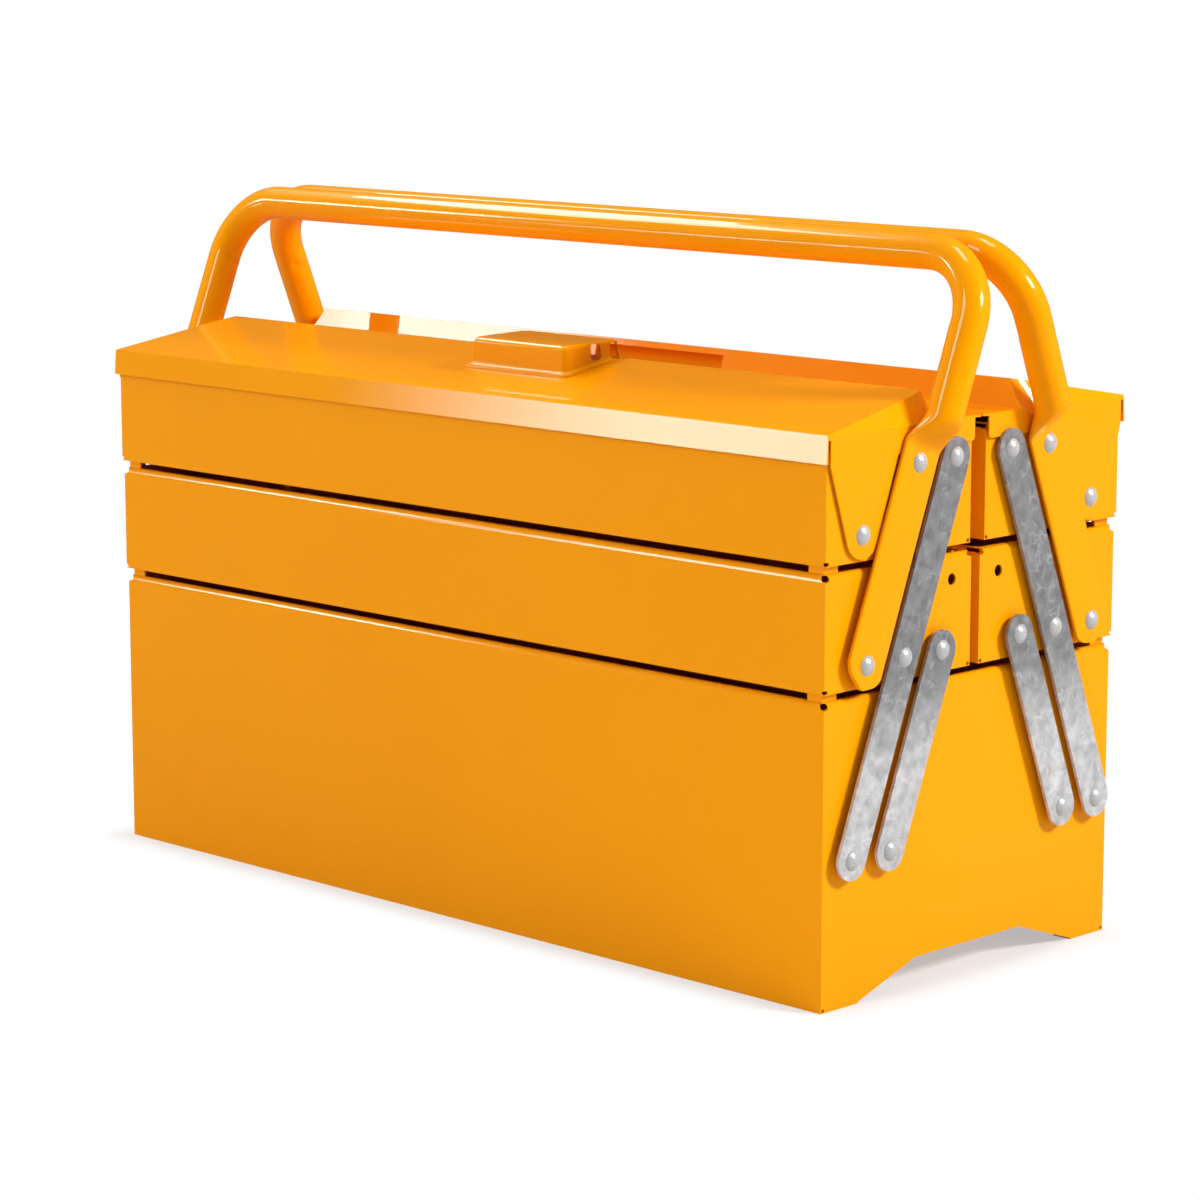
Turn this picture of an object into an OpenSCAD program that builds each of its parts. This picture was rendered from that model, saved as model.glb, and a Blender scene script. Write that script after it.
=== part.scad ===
// Cantilever tool box: a base box, four swinging trays, two lids and two carrying handles.
// Millimetres. X runs along the length, -Y is the front, Z is up and the box stands on Z = 0.
// Front pieces are drawn once and the rear ones are their mirror images.

/* [Body] */
// Length of the base box over its end walls
body_l = 475; // [440:1:510]
// Width of the base box over its long walls
body_w = 200; // [196:1:208]
// Height of the base box to its rim
base_h = 137.2; // [132:0.2:142]
// Thickness of the pressed sheet
sheet = 1; // [0.8:0.1:1.2]
// Height of the raised floor above the ground
floor_up = 16; // [15:0.5:20]
// Width of the return that each wall stands on
return_w = 10; // [8:0.5:12]

/* [Foot arch] */
// Height of the arch in each end wall
arch_h = 13.5; // [11:0.1:13.8]
// Width of the arch at the ground
arch_low_w = 151; // [140:1:158]
// Width of the arch at its top
arch_top_w = 73; // [60:1:90]

/* [Trays] */
// Height of every tray
tray_h = 52.1; // [51:0.1:53]
// Gap between one tier and the next
tier_gap = 3.6; // [3.3:0.1:4]
// How much further out each tier's walls stand than those of the tier below
tier_flare = 0.7; // [0.5:0.05:0.8]
// Gap between the two middle trays
mid_gap = 6; // [5:0.5:8]
// Gap between the two top trays
top_gap = 10; // [9:0.5:11]
// Height of the folded hem inside each rim
hem_h = 7; // [5:0.5:9]
// Depth of the folded hem from the wall's outer face
hem_d = 2.6; // [2.2:0.1:3]
// Height of the rounding on a rim's outer edge
rim_h = 3.2; // [2:0.1:4]
// Depth of the rounding on a rim's outer edge
rim_d = 2; // [1.2:0.1:2.2]
// Length of the rest tabs at the outer corners
tab_l = 11; // [8:0.5:14]
// Clearance over a rest tab
tab_clear = 0.2; // [0.15:0.05:0.4]
// Radius of the relief holes at upper corners
relief_big_r = 1.5; // [1.2:0.1:1.7]
// Radius of the relief holes at lower corners
relief_small_r = 0.9; // [0.7:0.1:1.1]
// Radius of the spare hole in each middle tray's end
spare_r = 2.7; // [2.2:0.1:3]

/* [Levers] */
// Distance from the base's long wall to the long lever's pivot
pivot_in = 14; // [13:0.2:16]
// Height of the base pivots
pivot_z = 66.8; // [64:0.2:70]
// Height of the middle tray's pivots above its underside
mid_pivot_up = 10.8; // [10:0.1:12]
// Height of the levers' pivots above the top tray's underside
top_pivot_up = 39.9; // [38:0.1:41]
// Distance between the long and short lever's pivots
lever_pitch = 25.4; // [24.5:0.1:27]
// Width of a lever
lever_w = 18; // [16:0.5:18.5]
// Thickness of a lever
lever_t = 1.6; // [1.4:0.1:1.8]
// Distance from the base's end wall to a lever's inner face
lever_off = 3.5; // [3.45:0.05:3.7]

/* [Rivets] */
// Radius of a rivet's shank
pin_r = 2.5; // [2:0.1:2.8]
// Radial running clearance around a shank
pin_clear = 0.06; // [0.03:0.01:0.09]
// End play of a part between its boss and the rivet's head
end_play = 0.1; // [0.08:0.02:0.16]
// Radius of a domed head
head_r = 4.5; // [4:0.1:4.8]
// Height of a domed head
head_h = 2.2; // [1.8:0.1:2.6]
// Radius of the flat head inside a wall
tail_r = 4; // [3.5:0.1:4.4]
// Thickness of the flat head inside a wall
tail_h = 1; // [0.8:0.1:1.3]
// Radius of a boss at its top
boss_r = 5; // [4:0.1:5.2]

/* [Lids] */
// Thickness of the lid sheet
lid_t = 0.9; // [0.8:0.05:0.9]
// How far the lid's skirt stands out from the base's long wall
lid_over = 3.6; // [3.4:0.1:3.8]
// Gap between a lid's end and a lever
lid_lever_gap = 0.3; // [0.2:0.05:0.4]
// How far the skirt leans in from its lower edge to the roof
skirt_lean = 0.9; // [0.5:0.1:1]
// How far the skirt reaches below the top tray's rim
skirt_down = 7.8; // [7.2:0.1:8.2]
// Height of the roof's outer edge above the top tray's rim
edge_up = 4.5; // [4.2:0.1:5]
// Height of the ridge above the roof's outer edge
ridge_up = 12.7; // [11:0.1:14]
// Distance of the ridge from the middle of the box
ridge_y = 31; // [30:0.5:33]
// Distance of the inner slope's foot from the middle of the box
foot_y = 27.5; // [25:0.5:28]
// Distance that the ridge's ends are set in
ridge_in = 8; // [6:0.5:10]
// Half of the gap where the two lids meet
lid_meet = 0.8; // [0.6:0.1:1.2]
// Distance from the middle of the box to the edge of a lid's end tab
end_tab_y = 5; // [4:0.2:6]
// Width of the slot at the skirt's corner
corner_slot = 1.7; // [1.4:0.1:2]
// Distance from the top tray's outer wall to the lid's pivot
lid_pivot_in = 22; // [21.5:0.1:22.5]
// Height of the lid's pivot above the top tray's underside
lid_pivot_up = 11.6; // [11:0.1:12.5]
// Radius of the lid flap's rounded end
flap_r = 10.4; // [9.5:0.1:10.8]

/* [Hasp] */
// Length of the hasp cover along the box
hasp_l = 65; // [58:1:72]
// Distance of the hasp's middle from the box's middle
hasp_x = 15; // [0:1:20]
// Width of the hasp cover across the box
hasp_w = 38; // [36:1:40]
// Height of the hasp cover over the ridge
hasp_up = 8.3; // [7.5:0.1:9]
// Width of a padlock hole
lock_w = 6.5; // [5.5:0.1:7]
// Height of a padlock hole
lock_h = 7.5; // [6:0.1:7.8]
// Distance between the two padlock holes
lock_pitch = 13; // [12:0.2:14]
// Length of the recess in the rear lid
recess_l = 85; // [78:1:92]
// Depth of the recess in the rear lid
recess_d = 6; // [4:0.5:7]

/* [Handles] */
// Distance between the long lever's pivots and the handle's
handle_pitch = 25.9; // [25.5:0.1:27]
// Height of the bar above the handle's upper pivot, along the leg
bar_over = 94.4; // [90:0.2:100]
// Gap between the two bars of the closed box, which sets the levers' lean
bar_gap = 5.2; // [4:0.1:7]
// Radius of the handle's tube
tube_r = 8.2; // [7.6:0.1:8.4]
// Wall of the handle's tube
tube_wall = 1.2; // [1:0.1:1.6]
// Radius of the handle's bends on the tube's centre line
bend_r = 31.5; // [28:0.5:34]
// Distance from the base's end wall to the middle of a handle's leg
leg_off = 12.7; // [12.4:0.1:13.4]
// Width of the handle's flattened ends
flat_w = 23.6; // [22:0.2:24]
// Thickness of the handle's flattened ends
flat_t = 2.4; // [2:0.1:2.8]

/* [Show] */
// Sub-part to show

/* [Hidden] */
$fn = 48;
paint = [0.95, 0.6, 0.02];
zinc = [0.62, 0.64, 0.66];
bright = [0.8, 0.81, 0.82];
eps = 0.01;

// Walls and tiers
hl = body_l / 2;
hw = body_w / 2;
mid_x = hl + tier_flare;
mid_y = hw + tier_flare;
mid_z0 = base_h + tier_gap;
mid_z1 = mid_z0 + tray_h;
top_x = hl + 2 * tier_flare;
top_y = hw + 2 * tier_flare;
top_z0 = mid_z1 + tier_gap;
top_z1 = top_z0 + tray_h;
floor_z0 = floor_up - sheet;

// Pivots on the front half: long lever A, short lever B, handle C and lid D
a1z = mid_z0 + mid_pivot_up;
a2z = top_z0 + top_pivot_up;
link1_z = a1z - pivot_z;
link2_z = a2z - a1z;
a0y = -hw + pivot_in;
// The lean brings each bar, from its leg's pivots, to half the gap from the middle
bar_reach = -tube_r - bar_gap / 2 - a0y + handle_pitch;
function lean_at(t, n) =
  n == 0 ? t : lean_at(atan((bar_reach - bar_over * sin(t)) / (a2z - pivot_z)), n - 1);
lean = lean_at(20, 40);
link1 = link1_z / cos(lean);
link2 = link2_z / cos(lean);
bar_up = link2 + bar_over;
a1y = a0y + link1_z * tan(lean);
a2y = a1y + link2_z * tan(lean);
b0y = a0y + lever_pitch;
b1y = a1y + lever_pitch;
c1y = a1y - handle_pitch;
c2y = a2y - handle_pitch;
dy = -top_y + lid_pivot_in;
dz = top_z0 + lid_pivot_up;

// Planes along X, outwards from the end wall
lever_x0 = hl + lever_off;
lever_x1 = lever_x0 + lever_t;
flat_x1 = lever_x0 + flat_t;
boss_x = lever_x0 - end_play;
lid_x1 = lever_x0 - lid_lever_gap;
lid_x0 = lid_x1 - lid_t;
lid_boss_x = lid_x0 - end_play;
leg_x = hl + leg_off;
bore_r = pin_r + pin_clear;

// Lid heights
skirt_z = top_z1 - skirt_down;
edge_z = top_z1 + edge_up;
ridge_z = edge_z + ridge_up;
lid_y = hw + lid_over;
roof_slope = ridge_up / (lid_y - ridge_y);
flat_edge = flat_w / 2 / cos(lean);

// Handle heights along the leg, from its lower pivot
flat_end = link2 + 5.9;
tube_start = flat_end + 16;

module block(x0, x1, y0, y1, z0, z1) {
  translate([x0, y0, z0])
    cube([x1 - x0, y1 - y0, z1 - z0]);
}

module both_ends() {
  children();
  mirror([1, 0, 0]) children();
}

module both_sides() {
  children();
  mirror([0, 1, 0]) children();
}

// A round bar along X
module rod(y, z, x0, x1, r, r_end = 0) {
  translate([x0, y, z])
    rotate([0, 90, 0])
      cylinder(h = x1 - x0, r1 = r, r2 = r_end > 0 ? r_end : r);
}

// Outline of an open box from one side, with the rounding on both upper edges
module rim_outline(a, b, z0, z1) {
  polygon(concat(
    [[b, z0], [a, z0]],
    [for (t = [0:18:90]) [a + rim_d * (1 - cos(t)), z1 - rim_h * (1 - sin(t))]],
    [for (t = [90:-18:0]) [b - rim_d * (1 - cos(t)), z1 - rim_h * (1 - sin(t))]]
  ));
}

// The box's outer form, which trims its walls and its end plates
module outer_form(x, y0, y1, z0, z1) {
  intersection() {
    translate([-x, 0, 0])
      rotate([90, 0, 90])
        linear_extrude(2 * x)
          rim_outline(y0, y1, z0, z1);
    translate([0, y1, 0])
      rotate([90, 0, 0])
        linear_extrude(y1 - y0)
          rim_outline(-x, x, z0, z1);
  }
}

// The two long walls, each with a rolled rim and a hem folded inside it
module long_walls(x, y0, y1, z0, z1) {
  intersection() {
    outer_form(x, y0, y1, z0, z1);
    union() {
      block(-x, x, y0, y0 + sheet, z0, z1);
      block(-x, x, y1 - sheet, y1, z0, z1);
      block(hem_d - x, x - hem_d, y0 + sheet / 2, y0 + hem_d, z1 - hem_h, z1);
      block(hem_d - x, x - hem_d, y1 - hem_d, y1 - sheet / 2, z1 - hem_h, z1);
    }
  }
}

// The two end plates, set between the long walls, with the same rim and hem
module end_plates(x, y0, y1, z0, z1) {
  intersection() {
    outer_form(x, y0, y1, z0, z1);
    both_ends() {
      block(x - sheet, x, y0 + sheet, y1 - sheet, z0, z1);
      block(x - hem_d, x - sheet / 2, y0 + sheet, y1 - sheet, z1 - hem_h, z1);
    }
  }
}

// The floor, set between the walls and the ends
module floor_plate(x, y0, y1, z) {
  block(sheet - x, x - sheet, y0 + sheet, y1 - sheet, z, z + sheet);
}

// Rest tabs that stand on the front rim's hem, each with a short leg along the end
module rest_tabs(x, y, z) {
  top = z + tier_gap - tab_clear;
  both_ends() {
    block(x - tab_l, x - hem_d, y + hem_d - sheet, y + hem_d, z - 2 * sheet, top);
    block(x - hem_d - sheet, x - hem_d, y + hem_d - sheet, y + tab_l, z, top);
  }
}

// A pressed boss on an end wall, at both ends
module bosses(y, z, wall_x, face_x) {
  both_ends()
    rod(y, z, wall_x - sheet / 2, face_x, boss_r, boss_r);
}

// The rivet holes of a wall and its boss, at both ends
module rivet_holes(y, z, wall_x) {
  both_ends()
    rod(y, z, wall_x - 3 * sheet, lever_x0 + 1, bore_r);
}

// Relief holes at the four corners of an end wall
module relief_holes(x, y0, y1, z0, z1) {
  for (y = [y0 + 1.3, y1 - 1.3])
    both_ends() {
      rod(y, z1 - 1.9, x - 3 * sheet, x + 1, relief_big_r, $fn = 20);
      rod(y, z0 + 1.2, x - 3 * sheet, x + 1, relief_small_r, $fn = 16);
    }
}

module arch_cut() {
  translate([-hl - 1, 0, 0])
    rotate([90, 0, 90])
      linear_extrude(body_l + 2)
        polygon([
          [-arch_low_w / 2, -1], [-arch_low_w / 2, 0.6],
          [-arch_top_w / 2, arch_h], [arch_top_w / 2, arch_h],
          [arch_low_w / 2, 0.6], [arch_low_w / 2, -1]
        ]);
}

module base_walls() {
  color(paint)
    difference() {
      union() {
        long_walls(hl, -hw, hw, 0, base_h);
        both_sides() {
          block(sheet - hl, hl - sheet, -hw, -hw + return_w, 0, sheet);
          rest_tabs(hl, -hw, base_h);
        }
      }
      relief_holes(hl, -hw, hw, 0, base_h);
    }
}

module base_ends() {
  color(paint)
    difference() {
      union() {
        end_plates(hl, -hw, hw, 0, base_h);
        both_ends()
          block(hl - return_w, hl - sheet / 2, return_w - hw, hw - return_w, 0, sheet);
        both_sides() {
          bosses(a0y, pivot_z, hl, boss_x);
          bosses(b0y, pivot_z, hl, boss_x);
        }
      }
      arch_cut();
      both_sides() {
        rivet_holes(a0y, pivot_z, hl);
        rivet_holes(b0y, pivot_z, hl);
      }
      relief_holes(hl, -hw, hw, 0, base_h);
    }
}

// The raised floor
module base_floor() color(paint) floor_plate(hl, -hw, hw, floor_z0);

module middle_walls() {
  color(paint)
    difference() {
      union() {
        long_walls(mid_x, -mid_y, -mid_gap / 2, mid_z0, mid_z1);
        rest_tabs(mid_x, -mid_y, mid_z1);
      }
      relief_holes(mid_x, -mid_y, -mid_gap / 2, mid_z0, mid_z1);
    }
}

module middle_ends() {
  color(paint)
    difference() {
      union() {
        end_plates(mid_x, -mid_y, -mid_gap / 2, mid_z0, mid_z1);
        bosses(a1y, a1z, mid_x, boss_x);
        bosses(b1y, a1z, mid_x, boss_x);
        bosses(c1y, a1z, mid_x, boss_x);
      }
      rivet_holes(a1y, a1z, mid_x);
      rivet_holes(b1y, a1z, mid_x);
      rivet_holes(c1y, a1z, mid_x);
      relief_holes(mid_x, -mid_y, -mid_gap / 2, mid_z0, mid_z1);
      both_ends()
        rod(-mid_gap / 2 - 13.3, mid_z1 - 11.6, mid_x - 3 * sheet, mid_x + 1, spare_r,
          $fn = 32);
    }
}

module middle_floor() color(paint) floor_plate(mid_x, -mid_y, -mid_gap / 2, mid_z0);

module top_walls() {
  color(paint)
    difference() {
      long_walls(top_x, -top_y, -top_gap / 2, top_z0, top_z1);
      relief_holes(top_x, -top_y, -top_gap / 2, top_z0, top_z1);
    }
}

module top_ends() {
  color(paint)
    difference() {
      union() {
        end_plates(top_x, -top_y, -top_gap / 2, top_z0, top_z1);
        bosses(a2y, a2z, top_x, boss_x);
        bosses(c2y, a2z, top_x, boss_x);
        bosses(dy, dz, top_x, lid_boss_x);
      }
      rivet_holes(a2y, a2z, top_x);
      rivet_holes(c2y, a2z, top_x);
      rivet_holes(dy, dz, top_x);
      relief_holes(top_x, -top_y, -top_gap / 2, top_z0, top_z1);
    }
}

module top_floor() color(paint) floor_plate(top_x, -top_y, -top_gap / 2, top_z0);

module front_middle_walls() middle_walls();
module front_middle_ends() middle_ends();
module front_middle_floor() middle_floor();
module rear_middle_walls() mirror([0, 1, 0]) middle_walls();
module rear_middle_ends() mirror([0, 1, 0]) middle_ends();
module rear_middle_floor() mirror([0, 1, 0]) middle_floor();
module front_top_walls() top_walls();
module front_top_ends() top_ends();
module front_top_floor() top_floor();
module rear_top_walls() mirror([0, 1, 0]) top_walls();
module rear_top_ends() mirror([0, 1, 0]) top_ends();
module rear_top_floor() mirror([0, 1, 0]) top_floor();

// The lid's section across the box, carried on past the middle and below the skirt
module lid_section() {
  polygon([
    [-lid_y, skirt_z - 5], [-lid_y, skirt_z], [-lid_y + skirt_lean, edge_z],
    [-ridge_y, ridge_z],
    [-foot_y, edge_z], [5, edge_z], [5, skirt_z - 5]
  ]);
}

// The lid's section along the box, with its ends set in towards the ridge
module lid_length() {
  polygon([
    [-lid_x1, skirt_z - 5], [-lid_x1, edge_z - 0.5], [-lid_x1 + ridge_in, ridge_z],
    [-lid_x1 + ridge_in, ridge_z + 5], [lid_x1 - ridge_in, ridge_z + 5],
    [lid_x1 - ridge_in, ridge_z], [lid_x1, edge_z - 0.5], [lid_x1, skirt_z - 5]
  ]);
}

// The dent beside a handle's leg
module leg_dent(grow) {
  both_ends()
    translate([leg_x, c1y, a1z])
      rotate([-lean, 0, 0])
        translate([0, 0, (edge_z - 5.5 - a1z) / cos(lean)])
          cylinder(h = 26, r1 = 8 + grow, r2 = 22 + grow);
}

// The recess for the hasp, in the rear lid's inner slope
module hasp_recess(grow) {
  translate([hasp_x, 0, 0])
    block(-recess_l / 2 - grow, recess_l / 2 + grow, -ridge_y - recess_d - grow, -foot_y + 1,
      edge_z - grow, ridge_z - 3 + grow);
}

// inset 0 gives the lid's outside and inset lid_t its inside
module lid_form(inset, recess) {
  difference() {
    intersection() {
      translate([-lid_x1 - 1, 0, 0])
        rotate([90, 0, 90])
          linear_extrude(2 * lid_x1 + 2)
            offset(delta = -inset)
              lid_section();
      translate([0, 5, 0])
        rotate([90, 0, 0])
          linear_extrude(lid_y + 10)
            offset(delta = -inset)
              lid_length();
    }
    leg_dent(inset);
    if (recess) hasp_recess(inset);
  }
}

// The end flap that carries the lid's pivot
module lid_flap() {
  both_ends()
    translate([lid_x0, 0, 0])
      rotate([90, 0, 90])
        linear_extrude(lid_t)
          hull() {
            translate([dy, dz]) circle(r = flap_r);
            polygon([
              [-top_y + 0.5, skirt_z + 4], [-top_y + 0.5, skirt_z],
              [c1y + (skirt_z - a1z) * tan(lean) - flat_edge - 0.7, skirt_z],
              [c1y + (skirt_z - a1z) * tan(lean) - flat_edge - 0.7, skirt_z + 4]
            ]);
          }
}

// What is cut from a lid's end: room for the bosses, and the tab's rounded corner
module end_tab_cut() {
  translate([lid_x0 - 1, 0, 0])
    rotate([90, 0, 90])
      linear_extrude(lid_t + 2)
        polygon([
          [c2y - boss_r - 1.2, skirt_z - 1], [c2y - boss_r - 1.2, a2z + boss_r + 0.7],
          [-end_tab_y - 1.6, a2z + boss_r + 0.7], [-end_tab_y - 0.5, a2z + boss_r + 1.2],
          [-end_tab_y, a2z + boss_r + 2.3], [-end_tab_y, edge_z - lid_t],
          [6, edge_z - lid_t], [6, skirt_z - 1]
        ]);
}

module lid(recess) {
  difference() {
    union() {
      difference() {
        lid_form(0, recess);
        lid_form(lid_t, recess);
        block(-lid_x1 - 1, lid_x1 + 1, -lid_y - 1, 6, skirt_z - 6, skirt_z);
        block(-lid_x1 - 1, lid_x1 + 1, -lid_meet, 6, skirt_z - 6, ridge_z + 6);
        both_ends()
          end_tab_cut();
      }
      lid_flap();
    }
    both_ends() {
      rod(dy, dz, lid_x0 - 1, lid_x1 + 1, bore_r);
      block(lid_x0 - 0.6, lid_x1 + 1, -lid_y + lid_t + 0.3, -lid_y + lid_t + 0.3 + corner_slot,
        skirt_z - 1, edge_z - 2.2);
    }
  }
}

module front_lid() color(paint) lid(false);
module rear_lid() color(paint) mirror([0, 1, 0]) lid(true);

function roof_z(y) = edge_z + (y + lid_y) * roof_slope;

hasp_y1 = -ridge_y + 2.5;
hasp_y0 = hasp_y1 - hasp_w;
hasp_z = ridge_z + hasp_up;
lock_y = (hasp_y0 + hasp_y1) / 2 + 11;

// The hasp cover's section: a slightly crowned box that stands on the roof
module hasp_section(low) {
  polygon([
    [hasp_y0, roof_z(hasp_y0) - low], [hasp_y0 + 1.2, hasp_z - 2.2],
    [hasp_y0 + 4, hasp_z - 0.9], [hasp_y0 + 12, hasp_z],
    [hasp_y1, hasp_z], [hasp_y1, ridge_z - low],
    [-ridge_y, ridge_z - low]
  ]);
}

module hasp_cover() {
  color(paint)
    translate([hasp_x, 0, 0])
      difference() {
        union() {
          difference() {
            translate([-hasp_l / 2, 0, 0])
              rotate([90, 0, 90])
                linear_extrude(hasp_l)
                  hasp_section(0);
            translate([-hasp_l / 2 + sheet, 0, 0])
              rotate([90, 0, 90])
                linear_extrude(hasp_l - 2 * sheet)
                  offset(delta = -sheet)
                    union() {
                      hasp_section(4);
                      translate([hasp_y1 - 2, ridge_z - 2]) square([8, hasp_up + 2]);
                    }
          }
          // flange along the front and both ends
          difference() {
            translate([-hasp_l / 2 - 2.4, 0, 0])
              rotate([90, 0, 90])
                linear_extrude(hasp_l + 4.8)
                  polygon([
                    [hasp_y0 - 2.4, roof_z(hasp_y0 - 2.4)],
                    [hasp_y0 - 2.4, roof_z(hasp_y0 - 2.4) + 1.1],
                    [-ridge_y, ridge_z + 1.1], [-ridge_y, ridge_z]
                  ]);
            block(-hasp_l / 2 + sheet, hasp_l / 2 - sheet, hasp_y0 + 1.6, 0,
              edge_z, ridge_z + 6);
          }
          // upright rib on each end
          both_ends()
            block(hasp_l / 2 - 0.5, hasp_l / 2 + 0.8, hasp_y0 + 11.5, hasp_y0 + 13,
              ridge_z - 2, hasp_z - 1.6);
        }
        // padlock holes right through both ends
        for (y = [lock_y, lock_y - lock_pitch])
          block(-hasp_l, hasp_l, y - lock_w / 2, y + lock_w / 2,
            ridge_z + 0.2, ridge_z + 0.2 + lock_h * 0.9);
      }
}

// The round tube: the bar, and a bend and an upper leg at each end
module tube(r, leg_from) {
  translate([bend_r - leg_x, 0, bar_up])
    rotate([0, 90, 0])
      cylinder(h = 2 * (leg_x - bend_r), r = r);
  both_ends() {
    translate([leg_x - bend_r, 0, bar_up - bend_r])
      rotate([90, 0, 0])
        rotate_extrude(angle = 90)
          translate([bend_r, 0]) circle(r = r);
    translate([leg_x, 0, leg_from])
      cylinder(h = bar_up - bend_r - leg_from, r = r);
  }
}

// One slice of the leg where the tube is pressed flat
module leg_slice(x, v, across, thick) {
  translate([x, 0, v])
    scale([thick / across, 1, 1])
      cylinder(h = 0.05, r = across / 2, $fn = 28);
}

module handle_end() {
  translate([lever_x0, 0, 0])
    rotate([90, 0, 90])
      linear_extrude(flat_t)
        polygon([
          [-flat_w / 2, flat_end + 0.05], [-flat_w / 2, -3.6], [0.5, -11.2],
          [flat_w / 2, -6.4], [flat_w / 2, flat_end + 0.05]
        ]);
  hull() {
    block(lever_x0, flat_x1, -flat_w / 2, flat_w / 2, flat_end - 0.5, flat_end);
    leg_slice(lever_x0 + 3.2, flat_end + 5, flat_w - 2, 6.4);
  }
  hull() {
    leg_slice(lever_x0 + 3.2, flat_end + 5, flat_w - 2, 6.4);
    leg_slice(lever_x0 + 0.75 * tube_r, flat_end + 10, 2 * tube_r + 2.4, 1.5 * tube_r);
  }
  hull() {
    leg_slice(lever_x0 + 0.75 * tube_r, flat_end + 10, 2 * tube_r + 2.4, 1.5 * tube_r);
    leg_slice(leg_x, tube_start - 0.05, 2 * tube_r + 0.7, 2 * tube_r + 0.7);
  }
}

module handle() {
  difference() {
    translate([0, c1y, a1z])
      rotate([-lean, 0, 0]) {
        tube(tube_r, tube_start);
        both_ends() handle_end();
      }
    translate([0, c1y, a1z])
      rotate([-lean, 0, 0])
        tube(tube_r - tube_wall, tube_start + 1);
    both_ends() {
      rod(c1y, a1z, lever_x0 - 1, flat_x1 + 2, bore_r);
      rod(c2y, a2z, lever_x0 - 1, flat_x1 + 2, bore_r);
    }
  }
}

module front_handle() color(paint) handle();
module rear_handle() color(paint) mirror([0, 1, 0]) handle();

// A flat lever on the right-hand end, from its lower pivot to its last one
module lever(y, reach, holes) {
  translate([lever_x0, y, pivot_z])
    rotate([-lean, 0, 0])
      difference() {
        union() {
          block(0, lever_t, -lever_w / 2, lever_w / 2, 0, reach);
          rod(0, 0, 0, lever_t, lever_w / 2);
          rod(0, reach, 0, lever_t, lever_w / 2);
        }
        for (up = holes)
          rod(0, up, -1, lever_t + 1, bore_r);
      }
}

module long_lever() color(zinc) lever(a0y, link1 + link2, [0, link1, link1 + link2]);
module short_lever() color(zinc) lever(b0y, link1, [0, link1]);

module front_long_lever_right() long_lever();
module front_long_lever_left() mirror([1, 0, 0]) long_lever();
module rear_long_lever_right() mirror([0, 1, 0]) long_lever();
module rear_long_lever_left() rotate([0, 0, 180]) long_lever();
module front_short_lever_right() short_lever();
module front_short_lever_left() mirror([1, 0, 0]) short_lever();
module rear_short_lever_right() mirror([0, 1, 0]) short_lever();
module rear_short_lever_left() rotate([0, 0, 180]) short_lever();

// A domed rivet at both ends, from a wall's inner face out over the part it holds
module rivets(y, z, wall_x, face_x) {
  head_x = face_x + end_play;
  dome_r = (head_r * head_r + head_h * head_h) / (2 * head_h);
  turn = asin(head_r / dome_r);
  color(bright)
    both_ends() {
      rod(y, z, wall_x - sheet - tail_h, wall_x - sheet, tail_r);
      rod(y, z, wall_x - sheet - eps, head_x + eps, pin_r);
      translate([head_x, y, z])
        rotate([0, 90, 0])
          rotate_extrude()
            polygon(concat([[0, 0]], [
              for (k = [0:6])
                [dome_r * sin(turn * (6 - k) / 6), dome_r * cos(turn * (6 - k) / 6) - dome_r + head_h]
            ]));
    }
}

module front_rivets_base_long() rivets(a0y, pivot_z, hl, lever_x1);
module front_rivets_base_short() rivets(b0y, pivot_z, hl, lever_x1);
module front_rivets_middle_long() rivets(a1y, a1z, mid_x, lever_x1);
module front_rivets_middle_short() rivets(b1y, a1z, mid_x, lever_x1);
module front_rivets_middle_handle() rivets(c1y, a1z, mid_x, flat_x1);
module front_rivets_top_long() rivets(a2y, a2z, top_x, lever_x1);
module front_rivets_top_handle() rivets(c2y, a2z, top_x, flat_x1);
module front_rivets_lid() rivets(dy, dz, top_x, lid_x1);
module rear_rivets_base_long() mirror([0, 1, 0]) front_rivets_base_long();
module rear_rivets_base_short() mirror([0, 1, 0]) front_rivets_base_short();
module rear_rivets_middle_long() mirror([0, 1, 0]) front_rivets_middle_long();
module rear_rivets_middle_short() mirror([0, 1, 0]) front_rivets_middle_short();
module rear_rivets_middle_handle() mirror([0, 1, 0]) front_rivets_middle_handle();
module rear_rivets_top_long() mirror([0, 1, 0]) front_rivets_top_long();
module rear_rivets_top_handle() mirror([0, 1, 0]) front_rivets_top_handle();
module rear_rivets_lid() mirror([0, 1, 0]) front_rivets_lid();

base_walls();
base_ends();
base_floor();
front_middle_walls();
front_middle_ends();
front_middle_floor();
rear_middle_walls();
rear_middle_ends();
rear_middle_floor();
front_top_walls();
front_top_ends();
front_top_floor();
rear_top_walls();
rear_top_ends();
rear_top_floor();
front_lid();
rear_lid();
hasp_cover();
front_handle();
rear_handle();
front_long_lever_right();
front_long_lever_left();
rear_long_lever_right();
rear_long_lever_left();
front_short_lever_right();
front_short_lever_left();
rear_short_lever_right();
rear_short_lever_left();
front_rivets_base_long();
rear_rivets_base_long();
front_rivets_base_short();
rear_rivets_base_short();
front_rivets_middle_long();
rear_rivets_middle_long();
front_rivets_middle_short();
rear_rivets_middle_short();
front_rivets_middle_handle();
rear_rivets_middle_handle();
front_rivets_top_long();
rear_rivets_top_long();
front_rivets_top_handle();
rear_rivets_top_handle();
front_rivets_lid();
rear_rivets_lid();
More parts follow.
